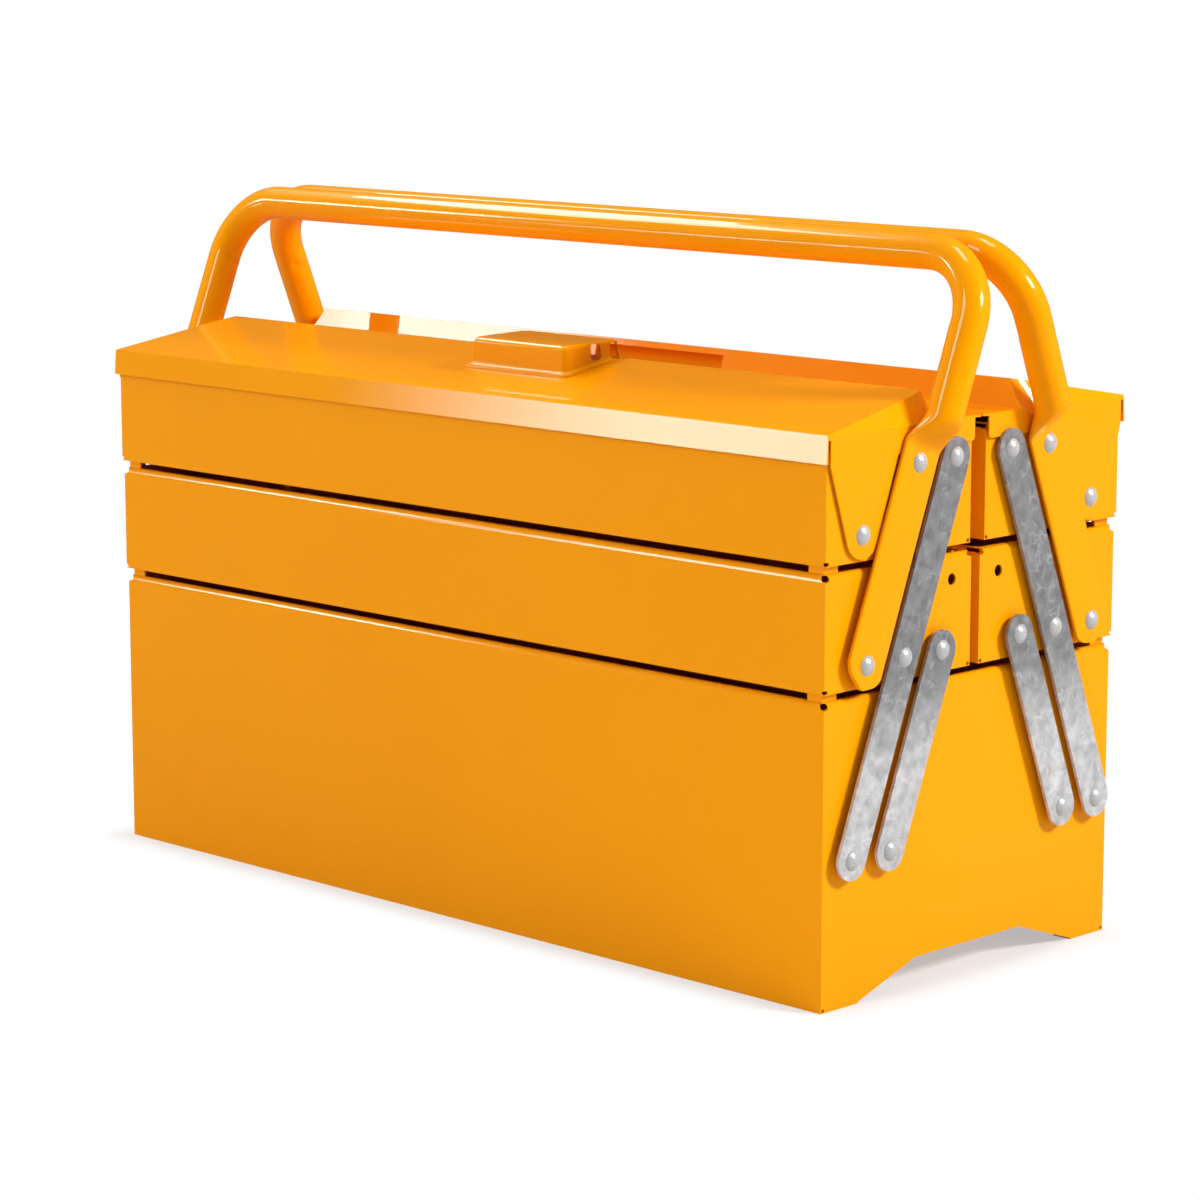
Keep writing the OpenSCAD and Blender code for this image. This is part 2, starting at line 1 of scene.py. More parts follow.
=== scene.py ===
import math
import bmesh
import bpy
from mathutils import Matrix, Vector


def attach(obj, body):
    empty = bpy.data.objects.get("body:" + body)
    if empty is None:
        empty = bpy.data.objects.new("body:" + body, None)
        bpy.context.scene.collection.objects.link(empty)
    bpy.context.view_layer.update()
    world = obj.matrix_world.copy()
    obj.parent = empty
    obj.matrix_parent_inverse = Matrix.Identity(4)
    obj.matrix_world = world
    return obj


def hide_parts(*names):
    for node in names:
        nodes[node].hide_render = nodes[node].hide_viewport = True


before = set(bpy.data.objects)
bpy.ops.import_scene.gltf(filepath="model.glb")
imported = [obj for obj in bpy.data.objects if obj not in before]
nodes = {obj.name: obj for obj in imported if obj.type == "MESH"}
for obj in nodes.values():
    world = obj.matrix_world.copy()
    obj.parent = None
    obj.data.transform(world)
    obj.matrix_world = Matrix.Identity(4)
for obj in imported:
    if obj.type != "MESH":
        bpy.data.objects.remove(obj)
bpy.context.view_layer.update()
scene = bpy.context.scene
scene.view_settings.view_transform = "Standard"

MM = 0.001
SIDES = (("front", 1), ("rear", -1))   # name, and the sign that mirrors the front's y


# ---------------------------------------------------------------- materials
def new_material(name):
    """A new material with its node tree and its shader."""
    mat = bpy.data.materials.new(name)
    mat.use_nodes = True
    tree = mat.node_tree
    return mat, tree, tree.nodes["Principled BSDF"]


def add(tree, kind, **values):
    """A new node with the given settings."""
    node = tree.nodes.new(kind)
    for key, value in values.items():
        setattr(node, key, value)
    return node


def noise(tree, coords, scale, detail=2.0, rough=0.5):
    """Cloudy noise over the object's own coordinates, which are metres."""
    node = add(tree, "ShaderNodeTexNoise")
    node.inputs["Scale"].default_value = scale
    node.inputs["Detail"].default_value = detail
    node.inputs["Roughness"].default_value = rough
    tree.links.new(coords, node.inputs["Vector"])
    return node


def ramp(tree, source, stops):
    """Colours or grey values placed along a 0 to 1 input."""
    node = add(tree, "ShaderNodeValToRGB")
    elements = node.color_ramp.elements
    while len(elements) > 1:
        elements.remove(elements[-1])
    for i, (pos, col) in enumerate(stops):
        el = elements[0] if i == 0 else elements.new(pos)
        el.position = pos
        el.color = (*col, 1.0) if isinstance(col, tuple) else (col, col, col, 1.0)
    tree.links.new(source, node.inputs["Fac"])
    return node


def bump(tree, bsdf, height, distance, strength, coat=False):
    """A fine relief on the surface, and on the clear coat too where it has one."""
    node = add(tree, "ShaderNodeBump")
    node.inputs["Strength"].default_value = strength
    node.inputs["Distance"].default_value = distance
    tree.links.new(height, node.inputs["Height"])
    tree.links.new(node.outputs["Normal"], bsdf.inputs["Normal"])
    if coat:
        tree.links.new(node.outputs["Normal"], bsdf.inputs["Coat Normal"])


PAINT_DARK, PAINT_LIGHT = (0.9, 0.318, 0.0), (0.92, 0.334, 0.0)
PAINT_SHEEN = (1.0, 0.5, 0.08, 1.0)   # the colour of the soft gloss below the clear coat
PEEL_HEIGHT = 0.4 * MM


def paint_material():
    """Glossy yellow-orange enamel: a faint drift of tone, light orange peel."""
    mat, tree, bsdf = new_material("paint")
    coords = add(tree, "ShaderNodeTexCoord").outputs["Object"]
    tint = noise(tree, coords, 7.0, 3.0)
    col = ramp(tree, tint.outputs["Fac"], [(0.3, PAINT_DARK), (0.7, PAINT_LIGHT)])
    tree.links.new(col.outputs["Color"], bsdf.inputs["Base Color"])
    sheen_map = noise(tree, coords, 30.0, 3.0)
    rough = ramp(tree, sheen_map.outputs["Fac"], [(0.3, 0.3), (0.7, 0.36)])
    tree.links.new(rough.outputs["Color"], bsdf.inputs["Roughness"])
    bsdf.inputs["Specular IOR Level"].default_value = 0.12
    bsdf.inputs["Specular Tint"].default_value = PAINT_SHEEN
    bsdf.inputs["Coat Weight"].default_value = 0.5
    bsdf.inputs["Coat Roughness"].default_value = 0.025
    bsdf.inputs["Coat IOR"].default_value = 1.5
    peel = noise(tree, coords, 380.0, 1.0)
    bump(tree, bsdf, peel.outputs["Fac"], PEEL_HEIGHT, 0.007, coat=True)
    return mat


# painted light and shade: the levers' zinc is lighter low down and darker high up, standing in for
# how light falls on them
ZINC_LOW_PAINTED_LIGHT, ZINC_HIGH_PAINTED_SHADE = (0.56, 0.56, 0.565), (0.24, 0.24, 0.245)
ZINC_PAINTED_SHADE_TURN = (0.095, 0.15)             # heights between which the painted shade comes in
RIM_GREY = (0.12, 0.12, 0.12, 1.0)    # what the spangles' rims add
SPANGLE_HEIGHT = 0.3 * MM


def zinc_material():
    """Galvanised strip: small spangles with bright rims, and painted light and shade that make it
    lighter below and darker above.
    """
    mat, tree, bsdf = new_material("zinc")
    coords = add(tree, "ShaderNodeTexCoord").outputs["Object"]
    warp = noise(tree, coords, 120.0, 3.0)
    mix = add(tree, "ShaderNodeMixRGB")
    mix.inputs["Fac"].default_value = 0.01
    tree.links.new(coords, mix.inputs["Color1"])
    tree.links.new(warp.outputs["Color"], mix.inputs["Color2"])
    rims = add(tree, "ShaderNodeTexVoronoi", feature="DISTANCE_TO_EDGE")
    rims.inputs["Scale"].default_value = 190.0
    tree.links.new(mix.outputs["Color"], rims.inputs["Vector"])
    thin = ramp(tree, rims.outputs["Distance"], [(0.0, 1.0), (0.12, 0.0)])
    patch = noise(tree, coords, 110.0, 2.0)
    some = ramp(tree, patch.outputs["Fac"], [(0.52, 0.0), (0.62, 1.0)])
    marks = add(tree, "ShaderNodeMath", operation="MULTIPLY")
    tree.links.new(thin.outputs["Color"], marks.inputs[0])
    tree.links.new(some.outputs["Color"], marks.inputs[1])
    # painted shade: the tone darkens with height, from the lit lower tone to the shaded upper tone
    height = add(tree, "ShaderNodeSeparateXYZ")
    tree.links.new(coords, height.inputs["Vector"])
    up = add(tree, "ShaderNodeMapRange", interpolation_type="SMOOTHSTEP")
    up.inputs["From Min"].default_value, up.inputs["From Max"].default_value = ZINC_PAINTED_SHADE_TURN
    tree.links.new(height.outputs["Z"], up.inputs["Value"])
    tone = ramp(tree, up.outputs["Result"], [(0.0, ZINC_LOW_PAINTED_LIGHT), (1.0, ZINC_HIGH_PAINTED_SHADE)])
    cloud = noise(tree, coords, 170.0, 4.0, 0.6)
    shade = ramp(tree, cloud.outputs["Fac"], [(0.3, 0.72), (0.7, 1.25)])
    mottled = add(tree, "ShaderNodeMixRGB", blend_type="MULTIPLY")
    mottled.inputs["Fac"].default_value = 1.0
    tree.links.new(tone.outputs["Color"], mottled.inputs["Color1"])
    tree.links.new(shade.outputs["Color"], mottled.inputs["Color2"])
    marked = add(tree, "ShaderNodeMixRGB", blend_type="ADD")
    tree.links.new(mottled.outputs["Color"], marked.inputs["Color1"])
    marked.inputs["Color2"].default_value = RIM_GREY
    tree.links.new(marks.outputs["Value"], marked.inputs["Fac"])
    tree.links.new(marked.outputs["Color"], bsdf.inputs["Base Color"])
    bsdf.inputs["Roughness"].default_value = 0.34
    bsdf.inputs["Metallic"].default_value = 0.25
    bump(tree, bsdf, cloud.outputs["Fac"], SPANGLE_HEIGHT, 0.05)
    return mat


def rivet_material():
    """Bright plated rivets with fine wear."""
    mat, tree, bsdf = new_material("rivet")
    coords = add(tree, "ShaderNodeTexCoord").outputs["Object"]
    wear = noise(tree, coords, 900.0, 2.0)
    col = ramp(tree, wear.outputs["Fac"], [(0.3, (0.6, 0.6, 0.605)), (0.7, (0.72, 0.72, 0.725))])
    tree.links.new(col.outputs["Color"], bsdf.inputs["Base Color"])
    rough = ramp(tree, wear.outputs["Fac"], [(0.3, 0.3), (0.7, 0.2)])
    tree.links.new(rough.outputs["Color"], bsdf.inputs["Roughness"])
    bsdf.inputs["Metallic"].default_value = 0.4
    return mat


PAINT = paint_material()
ZINC = zinc_material()
RIVET = rivet_material()


# ---------------------------------------------------------------- rounding
def bevel(obj, width, segments=2, angle=30, weighted=False):
    """Rounds the edges that turn more than an angle, or those that carry a bevel weight."""
    mod = obj.modifiers.new("edge", "BEVEL")
    mod.width = width
    mod.segments = segments
    mod.limit_method = "WEIGHT" if weighted else "ANGLE"
    mod.angle_limit = math.radians(angle)
    even = obj.modifiers.new("even", "WEIGHTED_NORMAL")
    even.keep_sharp = True


def smooth(obj, angle=35):
    """Smooth shading, with edges that turn more than the angle left sharp."""
    obj.data.shade_smooth()
    obj.data.set_sharp_from_angle(angle=math.radians(angle))


def link(name, mesh, mat):
    """A new object in the scene with one material."""
    obj = bpy.data.objects.new(name, mesh)
    scene.collection.objects.link(obj)
    mesh.materials.clear()
    mesh.materials.append(mat)
    return obj


def mesh_of(bm, name):
    """Writes the working mesh out and frees it."""
    mesh = bpy.data.meshes.new(name)
    bm.to_mesh(mesh)
    bm.free()
    return mesh


# ---------------------------------------------------------------- folded sheets
SHORTEST_FOLD = 3.5 * MM   # shorter edges belong to holes and bosses
SHALLOWEST_FOLD = 28       # degrees; flatter edges stay as they are
LONG_CORNER = 30 * MM      # a vertical edge longer than this is a corner of the box
FOLD_R = 1.1 * MM          # outer radius of such a corner
SOFT_R = 0.5 * MM          # every other edge of the sheet
RELIEF_UPPER = (1.8 * MM, 1.6 * MM)   # depth below the rim and radius of a relief hole
RELIEF_LOWER = (1.1 * MM, 0.95 * MM)  # height above the lower fold and radius
RELIEF_LENGTH = 11 * MM    # of the bar that cuts one
RELIEF_SINK = 4 * MM       # from the corner to the bar's middle
OUTER_OFF, INNER_OFF = 0.2 * MM, 1.5 * MM   # how far the bars stand in from the long walls' faces
INNER_MOST = 1.4 * MM      # largest radius at an inner corner
FOOT_Z = 5 * MM            # the base has no relief holes where it stands


def node_box(name):
    """A CAD node's least and greatest x, y and z."""
    points = [nodes[name].matrix_world @ Vector(c) for c in nodes[name].bound_box]
    return [[min(p[i] for p in points), max(p[i] for p in points)] for i in range(3)]


def relief_cutter(parts, corners):
    """Round bars through the sheet where its folds meet: aimed at an outer corner, or straight in."""
    (_, x1), (y0, y1), _ = node_box(parts[0])
    _, _, (z0, z1) = node_box(parts[1])
    bm = bmesh.new()
    for end in (-1, 1):
        for face, y in ((-1, y0), (1, y1)):
            outer = face in corners
            inward = Vector((-end, -face if outer else 0, 0)).normalized()
            off = OUTER_OFF if outer else INNER_OFF
            for z, radius in ((z1 - RELIEF_UPPER[0], RELIEF_UPPER[1]),
                              (z0 + RELIEF_LOWER[0], RELIEF_LOWER[1])):
                if z < FOOT_Z:
                    continue
                corner = Vector((end * (x1 - OUTER_OFF), y - face * off, z))
                turn = Vector((0, 0, 1)).rotation_difference(inward).to_matrix().to_4x4()
                turn.translation = corner + inward * RELIEF_SINK
                if not outer:
                    radius = min(radius, INNER_MOST)
                bmesh.ops.create_cone(bm, cap_ends=True, segments=20, radius1=radius,
                                      radius2=radius, depth=RELIEF_LENGTH, matrix=turn)
    return bpy.data.objects.new("relief", mesh_of(bm, "relief"))


WELD = 0.002 * MM          # points nearer than this are one
FLAT = math.radians(1.0)   # faces that turn less than this are one


def apply_booleans(obj, operation, others):
    """Fuses or cuts exactly, then merges the flat faces that the cut left split."""
    for other in others:
        mod = obj.modifiers.new("boolean", "BOOLEAN")
        mod.operation = operation
        mod.solver = "EXACT"
        mod.use_self = mod.use_hole_tolerant = operation == "DIFFERENCE"
        mod.object = other
    deps = bpy.context.evaluated_depsgraph_get()
    mesh = bpy.data.meshes.new_from_object(obj.evaluated_get(deps))
    obj.modifiers.clear()
    bm = bmesh.new()
    bm.from_mesh(mesh)
    bmesh.ops.remove_doubles(bm, verts=bm.verts, dist=WELD)
    bmesh.ops.dissolve_limit(bm, angle_limit=FLAT, verts=bm.verts, edges=bm.edges)
    bm.to_mesh(mesh)
    bm.free()
    obj.data = mesh


def weigh_edges(mesh):
    """Gives each fold its share of the full rounding: whole on the box's corners, less elsewhere."""
    bm = bmesh.new()
    bm.from_mesh(mesh)
    weight = bm.edges.layers.float.new("bevel_weight_edge")
    for edge in bm.edges:
        if len(edge.link_faces) != 2 or edge.calc_length() < SHORTEST_FOLD:
            continue
        if edge.calc_face_angle(0.0) < math.radians(SHALLOWEST_FOLD):
            continue
        run = (edge.verts[1].co - edge.verts[0].co).normalized()
        upright = abs(run.z) > 0.9 and edge.calc_length() > LONG_CORNER
        edge[weight] = 1.0 if edge.is_convex and upright else SOFT_R / FOLD_R
    bm.to_mesh(mesh)
    bm.free()


def sheet_box(name, body, parts, corners):
    """The folded sheet as one piece: the CAD walls, ends and floor fused and their edges rounded."""
    first_part = nodes[parts[0]]
    obj = link(name, first_part.data.copy(), PAINT)
    obj.matrix_world = first_part.matrix_world.copy()
    apply_booleans(obj, "UNION", [nodes[other] for other in parts[1:]])
    cutter = relief_cutter(parts, corners)
    scene.collection.objects.link(cutter)
    whole = obj.data
    apply_booleans(obj, "DIFFERENCE", [cutter])
    if len(obj.data.vertices) < len(whole.vertices):
        print("relief cut failed on", name)  # the sheet keeps its uncut mesh
        obj.data = whole
    bpy.data.objects.remove(cutter)
    obj.data.materials.clear()
    obj.data.materials.append(PAINT)
    weigh_edges(obj.data)
    bevel(obj, FOLD_R, 3, weighted=True)
    smooth(obj)
    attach(obj, body)
    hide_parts(*parts)


sheet_box("base_sheet", "base", ["base_walls", "base_ends", "base_floor"], (-1, 1))
for side, mirror in SIDES:
    for tier in ("middle", "top"):
        parts = [f"{side}_{tier}_{part}" for part in ("walls", "ends", "floor")]
        sheet_box(f"{side}_{tier}_sheet", f"{side}_{tier}", parts, (-mirror,))


# ---------------------------------------------------------------- hasp
HASP_X, HASP_L = 15.0, 65.0          # middle and length along the box
HASP_Y = (-66.5, -28.5)              # front and back of the cover
HASP_TOP = 274.1
RIDGE_Z, RIDGE_Y = 265.8, -31.0      # ridge of the front lid
EDGE_Z, LID_Y = 253.1, 103.6         # outer edge of its roof
ROOF_SLOPE = (RIDGE_Z - EDGE_Z) / (LID_Y + RIDGE_Y)
LOCK_HOLES = ((-45.8, 6.4), (-33.9, 5.2))   # middle and width of the padlock holes
LOCK_Z = (265.5, 273.0)              # lower and upper end of the padlock holes
LOCK_CORNER = 0.9                    # rounding of the padlock holes
HASP_T = 1.0                         # sheet of the cover
CROWN_DROP, CROWN_RUN = 1.1, 16.0    # how the top falls towards the front edge
TOP_R = 2.0                          # rounding round the top
REACH_X = 100.0                      # past both ends of the cover
FLANGE = (  # inset, corner radius and share of the height, from the roof up to the sides
    (-2.4, 4.0, 0.0), (-2.4, 4.0, 0.055), (-2.1, 3.8, 0.09), (-0.7, 3.2, 0.1), (-0.1, 3.0, 0.13),
)
SIDE_R, SIDE_FOOT, SIDE_TOP = 3.0, 0.13, 0.8   # corner radius and share of the height of the sides
SIDE_IN, SIDE_LEAN = 0.1, 0.9        # where the sides start and how far they lean in
MOUTH_IN, MOUTH_DEEP, MOUTH_LIP = 3.0, 2.2, 1.6   # the open back: margins at its ends, inwards, above
HASP_SOFT = 0.25 * MM                # its cut edges


def roof_z(y):
    """Height of the front lid's roof, which is level past its ridge."""
    return EDGE_Z + (min(y, RIDGE_Y) + LID_Y) * ROOF_SLOPE


def hasp_ring(inset, radius, height):
    """A rounded rectangle round the cover; height 0 lies on the roof and 1 at the top."""
    x0, x1 = HASP_X - HASP_L / 2 + inset, HASP_X + HASP_L / 2 - inset
    y0, y1 = HASP_Y[0] + inset, HASP_Y[1] - max(inset, 0)
    ring = []
    for cx, cy, turn in ((x1 - radius, y1 - radius, 0), (x0 + radius, y1 - radius, 90),
                         (x0 + radius, y0 + radius, 180), (x1 - radius, y0 + radius, 270)):
        for k in range(7):
            a = math.radians(turn + 15 * k)
            x, y = cx + radius * math.cos(a), cy + radius * math.sin(a)
            crown = HASP_TOP - CROWN_DROP * max(0.0, (HASP_Y[0] + CROWN_RUN - y) / CROWN_RUN) ** 1.5
            ring.append((x, y, roof_z(y) + (crown - roof_z(y)) * height if height <= 1 else crown))
    return ring


def quads_through(rings):
    """A band of quads through closed rings of points in millimetres, and its rows of vertices."""
    bm = bmesh.new()
    grid = [[bm.verts.new([c * MM for c in point]) for point in ring] for ring in rings]
    count = len(grid[0])
    for lower, upper in zip(grid, grid[1:]):
        for i in range(count):
            j = (i + 1) % count
            bm.faces.new((lower[i], lower[j], upper[j], upper[i]))
    return bm, grid


def block_cutter(low_corner, high_corner, corner_r=0.0):
    """A block between two corners in millimetres, its edges along X rounded."""
    bm = bmesh.new()
    bmesh.ops.create_cube(bm, size=1.0)
    for vert in bm.verts:
        vert.co = Vector([(lo + hi) / 2 + c * (hi - lo)
                          for c, lo, hi in zip(vert.co, low_corner, high_corner)]) * MM
    if corner_r:
        along = [e for e in bm.edges if abs((e.verts[0].co - e.verts[1].co).x) > REACH_X * MM]
        bmesh.ops.bevel(bm, geom=along, offset=corner_r * MM, segments=3, affect="EDGES")
    cutter = bpy.data.objects.new("cut", mesh_of(bm, "cut"))
    scene.collection.objects.link(cutter)
    return cutter


def hasp_skin():
    """The drawn cover: a rounded flange, leaning sides, a soft top edge and the padlock holes."""
    rings = [hasp_ring(*row) for row in FLANGE]
    rings += [hasp_ring(SIDE_IN + SIDE_LEAN * t, SIDE_R, SIDE_FOOT + (SIDE_TOP - SIDE_FOOT) * t)
              for t in (0.1, 0.5, 1.0)]
    for k in range(1, 6):
        a = math.radians(18 * k)
        inset = SIDE_IN + SIDE_LEAN + TOP_R * (1 - math.cos(a))
        rings.append(hasp_ring(inset, SIDE_R, SIDE_TOP + (1 - SIDE_TOP) * math.sin(a)))
    bm, grid = quads_through(rings)
    bm.faces.new(grid[-1])
    bmesh.ops.recalc_face_normals(bm, faces=bm.faces)
    obj = link("hasp_skin", mesh_of(bm, "hasp_skin"), PAINT)
    shell = obj.modifiers.new("shell", "SOLIDIFY")
    shell.thickness = HASP_T * MM
    shell.offset = -1.0
    cutters = [block_cutter((-REACH_X, y - width / 2, LOCK_Z[0]), (REACH_X, y + width / 2, LOCK_Z[1]),
                            LOCK_CORNER) for y, width in LOCK_HOLES]
    cutters.append(block_cutter(
        (HASP_X - HASP_L / 2 + MOUTH_IN, HASP_Y[1] - MOUTH_DEEP, RIDGE_Z - 2),
        (HASP_X + HASP_L / 2 - MOUTH_IN, HASP_Y[1] + 4, HASP_TOP - MOUTH_LIP)))
    apply_booleans(obj, "DIFFERENCE", cutters)
    for cutter in cutters:
        bpy.data.objects.remove(cutter)
    obj.data.materials.clear()
    obj.data.materials.append(PAINT)
    bevel(obj, HASP_SOFT, 2, 50)
    smooth(obj, 40)
    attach(obj, "front_cover")
    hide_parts("hasp_cover")


hasp_skin()


# ---------------------------------------------------------------- handles
LEVER_X = 241.0        # inner face of the flattened ends
LEG_X = 250.2          # middle of the legs
LEAN = math.radians(21.438)
PIVOT = (-78.56, 151.6)  # y and z of the front handle's lower pivot
BAR_UP = 185.5         # along the leg, from the lower pivot to the bar
BEND_R = 31.5          # middle line of the bends
TUBE_R = 8.2
FLAT_W, FLAT_T = 23.6, 2.4   # width and thickness of the flattened ends
FLAT_END, TUBE_START = 97.0, 113.0   # along the leg: the flat runs out and the round tube starts
FOOT_TIP, FOOT_SHOULDER = 0.5, 5.0   # place of the foot's blunt point and rounding beside it
FOOT_NEAR, FOOT_FAR, FOOT_LOW = -3.6, -6.4, -11.2   # the foot's edge at its sides and at its point
SQUARE = 1.5           # how much of the flat's width stays full between its rounded edges
DENT_TURN = 1.2        # radians of the bend up to which the dents reach
RING = 48              # points round the tube
LEG_STEPS, BEND_STEPS = 44, 24
BAR_STATIONS = (160.0, 80.0, 0.0, -80.0, -160.0)
TURNS = [2 * math.pi * (i + 0.5) / RING for i in range(RING)]
DENTS = (  # along the leg, angle from the inner side, depth, length, width in degrees
    (155.5, -24, 0.95, 2.6, 17), (151.5, 8, -0.35, 2.0, 22), (148.5, 26, 0.85, 2.2, 16),
    (146.0, -6, 0.4, 2.0, 20),
)


def ease(t):
    """Runs smoothly from 0 to 1."""
    t = min(max(t, 0.0), 1.0)
    return t * t * (3 - 2 * t)


def foot_edge(u):
    """Lower outline of a flattened end: a blunt point with rounded shoulders."""
    half = FLAT_W / 2
    if u < FOOT_TIP:
        slope = FOOT_NEAR + (u + half) / (FOOT_TIP + half) * (FOOT_LOW - FOOT_NEAR)
    else:
        slope = FOOT_LOW + (u - FOOT_TIP) / (half - FOOT_TIP) * (FOOT_FAR - FOOT_LOW)
    over = max(0.0, (abs(u) - (half - FOOT_SHOULDER)) / FOOT_SHOULDER)
    return slope + FOOT_SHOULDER * (1 - math.sqrt(max(0.0, 1 - over * over)))


def leg_stations():
    """(x, v, direction angle, half width, half thickness, share of the foot) from foot to bend."""
    rows = []
    for k in range(9):
        rows.append((LEVER_X + FLAT_T / 2, FLAT_END * k / 8, 0.0, FLAT_W / 2, FLAT_T / 2, 1 - k / 8))
    for k in range(1, 17):
        t = k / 16
        wide = FLAT_W / 2 + (TUBE_R - FLAT_W / 2) * ease(t)
        thick = FLAT_T / 2 + (TUBE_R - FLAT_T / 2) * ease(t * 1.05)
        x = LEVER_X + thick + (LEG_X - TUBE_R - LEVER_X) * ease(t)
        rows.append((x, FLAT_END + (TUBE_START - FLAT_END) * t, 0.0, wide, thick, 0.0))
    top = BAR_UP - BEND_R
    for k in range(1, LEG_STEPS + 1):
        v = TUBE_START + (top - TUBE_START) * k / LEG_STEPS
        rows.append((LEG_X, v, 0.0, TUBE_R, TUBE_R, 0.0))
    for k in range(1, BEND_STEPS + 1):
        a = math.pi / 2 * k / BEND_STEPS
        x = LEG_X - BEND_R + BEND_R * math.cos(a)
        v = top + BEND_R * math.sin(a)
        rows.append((x, v, a, TUBE_R, TUBE_R, 0.0))
    return rows


def dent_depth(v, th):
    """How deep the tube's skin is pressed in at a height and an angle; wrinkles stand out."""
    from_inside = math.degrees(math.atan2(math.cos(th), -math.sin(th)))
    sink = 0.0
    for at, angle, depth, length, spread in DENTS:
        sink += depth * math.exp(-((v - at) / length) ** 2 - ((from_inside - angle) / spread) ** 2)
    return sink


def ring_points(row, end):
    """The cross-section at one station of a leg or bend, at the end +1 or -1."""
    x, v, a, wide, thick, foot = row
    radius = min(wide, thick)
    points = []
    for th in TURNS:
        pull = max(-1.0, min(1.0, math.cos(th) * SQUARE))
        u = radius * math.cos(th) + (wide - radius) * pull
        n = thick * math.sin(th)
        if a < DENT_TURN and v > TUBE_START:
            shrink = 1 - dent_depth(v, th) / TUBE_R
            u *= shrink
            n *= shrink
        px = x + n * math.cos(a)
        pv = v + n * math.sin(a)
        if foot > 0:
            pv += foot_edge(u) * foot
        points.append((end * px, u, pv))
    return points


def handle_skin(side, mirror):
    """One tube: flattened, joggled ends, two legs, two bends and the bar, as a single closed mesh."""
    rows = leg_stations()
    rings = [ring_points(row, 1) for row in rows]
    rings += [[(x, TUBE_R * math.cos(th), BAR_UP + TUBE_R * math.sin(th)) for th in TURNS]
              for x in BAR_STATIONS]
    rings += [ring_points(row, -1) for row in reversed(rows)]
    lean_s, lean_c = math.sin(LEAN), math.cos(LEAN)
    placed = [[(x, mirror * (PIVOT[0] + v * lean_s + u * lean_c), PIVOT[1] + v * lean_c - u * lean_s)
               for x, u, v in ring] for ring in rings]
    bm, grid = quads_through(placed)
    for line in (grid[0], grid[-1]):
        for i in range(RING // 2 - 1):
            bm.faces.new((line[i], line[i + 1], line[RING - 2 - i], line[RING - 1 - i]))
    bmesh.ops.recalc_face_normals(bm, faces=bm.faces)
    obj = link(f"{side}_tube", mesh_of(bm, f"{side}_tube"), PAINT)
    smooth(obj, 50)
    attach(obj, f"{side}_carry_handle")
    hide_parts(f"{side}_handle")


for side, mirror in SIDES:
    handle_skin(side, mirror)


# ---------------------------------------------------------------- CAD nodes that show
LEVER_EDGE, LID_EDGE = 0.35 * MM, 0.45 * MM

for name, obj in nodes.items():
    mat = RIVET if "rivets" in name else ZINC if "lever" in name else PAINT
    obj.data.materials.clear()
    obj.data.materials.append(mat)
    if "lever" in name:
        bevel(obj, LEVER_EDGE, 2, 40)
    elif "lid" in name:
        bevel(obj, LID_EDGE, 2, 28)


# ---------------------------------------------------------------- stage
FLOOR_SIZE = 12.0
PAPER_GREY = 0.8                       # the paper where it takes light and shadow
SHADOW_HALF = (0.235, 0.098, 0.0)      # half the rectangle under the box in which it does so
SHADOW_FADE = 0.024                    # from there to plain white
GLOW_NEAR = 0.45                       # share of plain white inside the rectangle
FLOOR_SEEN = 0.12                      # how bright glossy paint sees the floor
FLOOR_TINT = (1, 0.97, 0.93, 1)


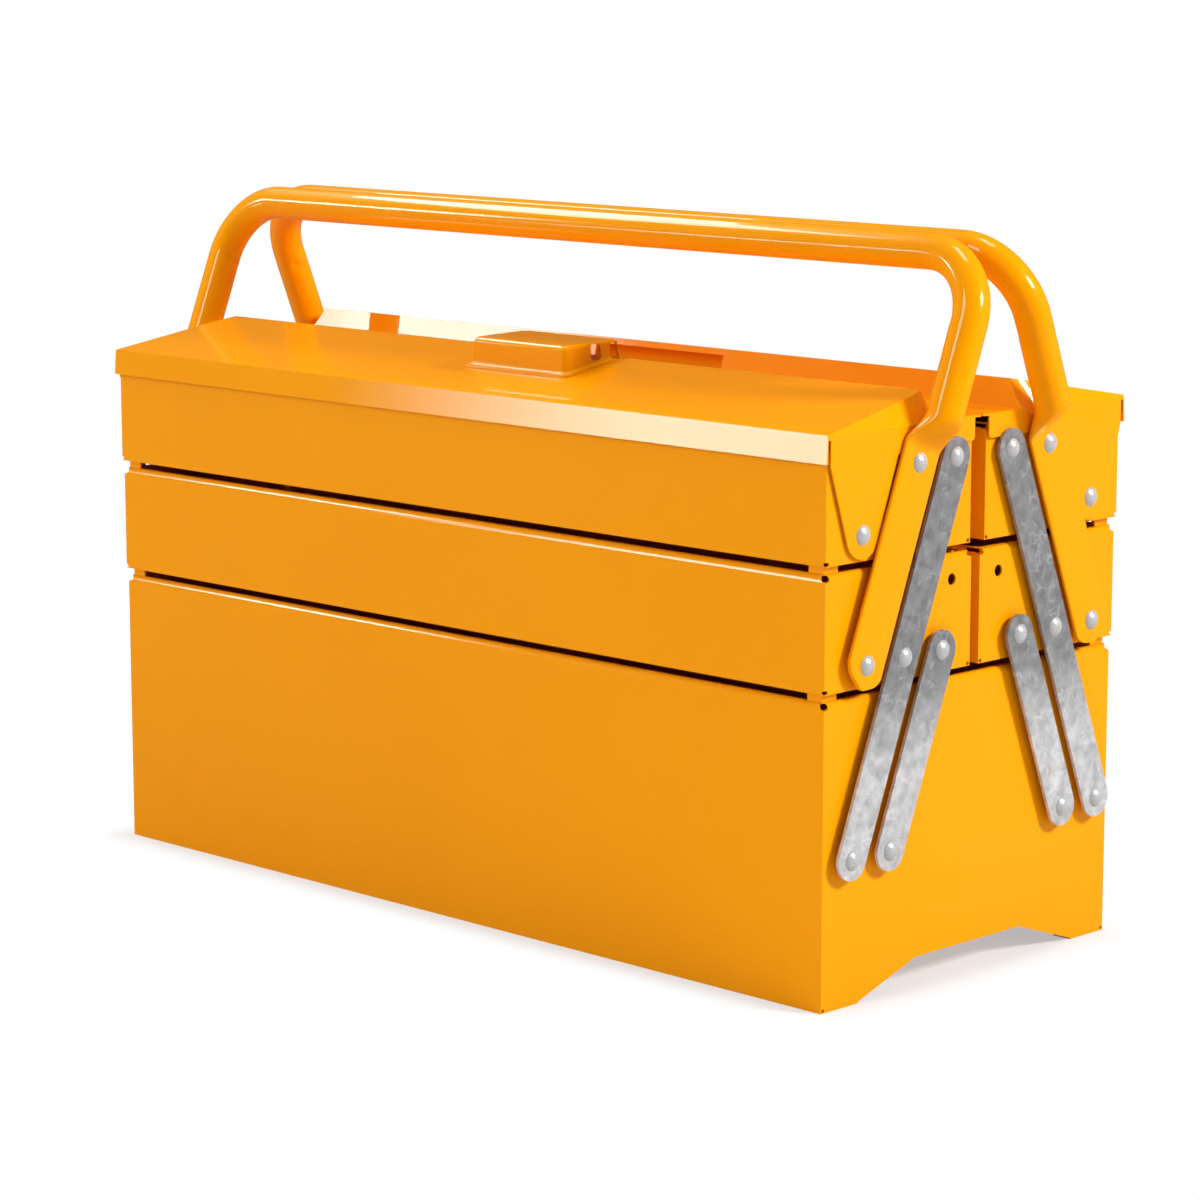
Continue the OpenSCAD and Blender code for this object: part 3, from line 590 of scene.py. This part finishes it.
def floor_material():
    """White paper: it takes the shadows near the box and runs out to plain white."""
    mat = bpy.data.materials.new("floor_white")
    mat.use_nodes = True
    tree = mat.node_tree
    tree.nodes.clear()
    out = add(tree, "ShaderNodeOutputMaterial")
    paper = add(tree, "ShaderNodeBsdfDiffuse")
    paper.inputs["Color"].default_value = (PAPER_GREY, PAPER_GREY, PAPER_GREY, 1)
    glow = add(tree, "ShaderNodeEmission")
    glow.inputs["Color"].default_value = (1, 1, 1, 1)
    seen = add(tree, "ShaderNodeEmission")
    seen.inputs["Color"].default_value = FLOOR_TINT
    seen.inputs["Strength"].default_value = FLOOR_SEEN
    place = add(tree, "ShaderNodeNewGeometry")
    spread = add(tree, "ShaderNodeVectorMath", operation="ABSOLUTE")
    past = add(tree, "ShaderNodeVectorMath", operation="SUBTRACT")
    past.inputs[1].default_value = SHADOW_HALF
    beyond = add(tree, "ShaderNodeVectorMath", operation="MAXIMUM")
    beyond.inputs[1].default_value = (0.0, 0.0, 0.0)
    length = add(tree, "ShaderNodeVectorMath", operation="LENGTH")
    fade = add(tree, "ShaderNodeMapRange", interpolation_type="SMOOTHSTEP")
    fade.inputs["From Min"].default_value = 0.0
    fade.inputs["From Max"].default_value = SHADOW_FADE
    fade.inputs["To Min"].default_value = GLOW_NEAR
    path = add(tree, "ShaderNodeLightPath")
    both = add(tree, "ShaderNodeMath", operation="MULTIPLY")
    paper_or_glow = add(tree, "ShaderNodeMixShader")
    or_seen = add(tree, "ShaderNodeMixShader")
    tree.links.new(place.outputs["Position"], spread.inputs[0])
    tree.links.new(spread.outputs["Vector"], past.inputs[0])
    tree.links.new(past.outputs["Vector"], beyond.inputs[0])
    tree.links.new(beyond.outputs["Vector"], length.inputs[0])
    tree.links.new(length.outputs["Value"], fade.inputs["Value"])
    tree.links.new(fade.outputs["Result"], both.inputs[0])
    tree.links.new(path.outputs["Is Camera Ray"], both.inputs[1])
    tree.links.new(both.outputs["Value"], paper_or_glow.inputs["Fac"])
    tree.links.new(paper.outputs["BSDF"], paper_or_glow.inputs[1])
    tree.links.new(glow.outputs["Emission"], paper_or_glow.inputs[2])
    tree.links.new(path.outputs["Is Glossy Ray"], or_seen.inputs["Fac"])
    tree.links.new(paper_or_glow.outputs["Shader"], or_seen.inputs[1])
    tree.links.new(seen.outputs["Emission"], or_seen.inputs[2])
    tree.links.new(or_seen.outputs["Shader"], out.inputs["Surface"])
    return mat


bpy.ops.mesh.primitive_plane_add(size=FLOOR_SIZE, location=(0, 0, 0))
floor = bpy.context.object
floor.name = "floor"
floor.data.materials.append(floor_material())

WORLD_FILL = 0.3       # what lights the box from all round
WORLD_GLOSS = 0.05     # what the glossy paint reflects between the lamps


def studio_world():
    """White to the camera, a plain fill on the box, and darker in the paint's reflections."""
    world = bpy.data.worlds.new("studio")
    world.use_nodes = True
    tree = world.node_tree
    tree.nodes.clear()
    fill, gloss, white = [add(tree, "ShaderNodeBackground") for _ in range(3)]
    for background, strength in ((fill, WORLD_FILL), (gloss, WORLD_GLOSS), (white, 1.0)):
        background.inputs["Color"].default_value = (1, 1, 1, 1)
        background.inputs["Strength"].default_value = strength
    path = add(tree, "ShaderNodeLightPath")
    out = add(tree, "ShaderNodeOutputWorld")
    rays = add(tree, "ShaderNodeMixShader")
    all_rays = add(tree, "ShaderNodeMixShader")
    tree.links.new(path.outputs["Is Glossy Ray"], rays.inputs["Fac"])
    tree.links.new(fill.outputs["Background"], rays.inputs[1])
    tree.links.new(gloss.outputs["Background"], rays.inputs[2])
    tree.links.new(path.outputs["Is Camera Ray"], all_rays.inputs["Fac"])
    tree.links.new(rays.outputs["Shader"], all_rays.inputs[1])
    tree.links.new(white.outputs["Background"], all_rays.inputs[2])
    tree.links.new(all_rays.outputs["Shader"], out.inputs["Surface"])
    return world


scene.world = studio_world()


def aim(obj, loc, target):
    """Puts a lamp in its place, turns it to its target and hides it from the camera."""
    scene.collection.objects.link(obj)
    obj.location = loc
    obj.rotation_euler = (Vector(target) - Vector(loc)).to_track_quat("-Z", "Y").to_euler()
    obj.visible_camera = False


def softbox(name, loc, target, size_x, size_y, power):
    """A rectangular lamp."""
    data = bpy.data.lights.new(name, "AREA")
    data.shape = "RECTANGLE"
    data.size = size_x
    data.size_y = size_y
    data.energy = power
    obj = bpy.data.objects.new(name, data)
    aim(obj, loc, target)
    return obj


def glow_card(name, loc, target, size_x, size_y, strength, fade_x):
    """A glowing card that fades out towards its left and right edges, as a big softbox does."""
    mesh = bpy.data.meshes.new(name)
    half_x, half_y = size_x / 2, size_y / 2
    corners = [(-half_x, -half_y, 0), (half_x, -half_y, 0), (half_x, half_y, 0), (-half_x, half_y, 0)]
    mesh.from_pydata(corners, [], [(3, 2, 1, 0)])
    mat = bpy.data.materials.new(name)
    mat.use_nodes = True
    tree = mat.node_tree
    tree.nodes.clear()
    out = add(tree, "ShaderNodeOutputMaterial")
    glow = add(tree, "ShaderNodeEmission")
    coords = add(tree, "ShaderNodeTexCoord")
    split = add(tree, "ShaderNodeSeparateXYZ")
    tree.links.new(coords.outputs["Object"], split.inputs["Vector"])
    sides = []
    for edge, inner in ((-half_x, -half_x + fade_x[0]), (half_x, half_x - fade_x[1])):
        fade = add(tree, "ShaderNodeMapRange", interpolation_type="SMOOTHSTEP")
        fade.inputs["From Min"].default_value = edge
        fade.inputs["From Max"].default_value = inner
        tree.links.new(split.outputs["X"], fade.inputs["Value"])
        sides.append(fade.outputs["Result"])
    both = add(tree, "ShaderNodeMath", operation="MULTIPLY")
    tree.links.new(sides[0], both.inputs[0])
    tree.links.new(sides[1], both.inputs[1])
    power = add(tree, "ShaderNodeMath", operation="MULTIPLY")
    power.inputs[1].default_value = strength
    tree.links.new(both.outputs["Value"], power.inputs[0])
    tree.links.new(power.outputs["Value"], glow.inputs["Strength"])
    tree.links.new(glow.outputs["Emission"], out.inputs["Surface"])
    mesh.materials.append(mat)
    obj = bpy.data.objects.new(name, mesh)
    aim(obj, loc, target)
    obj.visible_shadow = False
    return obj


# place, target, width and height in metres, then watts or, for a card, its strength and its fades
lights = [
    softbox("key_right", (2.1, 0.9, 1.5), (0.1, 0, 0.15), 0.55, 0.55, 66),
    softbox("front_soft", (-0.5, -2.6, 2.1), (0.1, 0, 0.2), 0.8, 0.8, 21.5),
    softbox("bar_strip", (-1.5, -0.17, 1.82), (0, 0, 0.32), 1.3, 0.4, 25),
    softbox("top", (0.1, 0.25, 2.3), (0, 0, 0.2), 0.7, 0.5, 12),
    glow_card("front_card", (-2.25, -2.64, 0.18), (0, 0, 0.2), 0.95, 0.2, 21.0, (0.5, 0.12)),
    glow_card("slope_card", (-2.48, -2.0, 1.1), (0, 0, 0.26), 0.56, 0.4, 28.0, (0.2, 0.2)),
]


# ---------------------------------------------------------------- camera
IMAGE_W = 1200            # pixels across the image
FOCAL = 3770.77           # focal length in those pixels
CAMERA_AT = (1.27867, -1.29005, 0.45935)
CAMERA_DOWN, CAMERA_ROUND = 9.955, 44.65   # degrees below level and round from the front
SENSOR = 36.0

cam_data = bpy.data.cameras.new("photo_camera")
cam_data.sensor_width = SENSOR
cam_data.lens = FOCAL / IMAGE_W * SENSOR
cam = bpy.data.objects.new("photo_camera", cam_data)
scene.collection.objects.link(cam)
cam.location = CAMERA_AT
cam.rotation_euler = (math.radians(90 - CAMERA_DOWN), 0.0, math.radians(CAMERA_ROUND))
scene.camera = cam
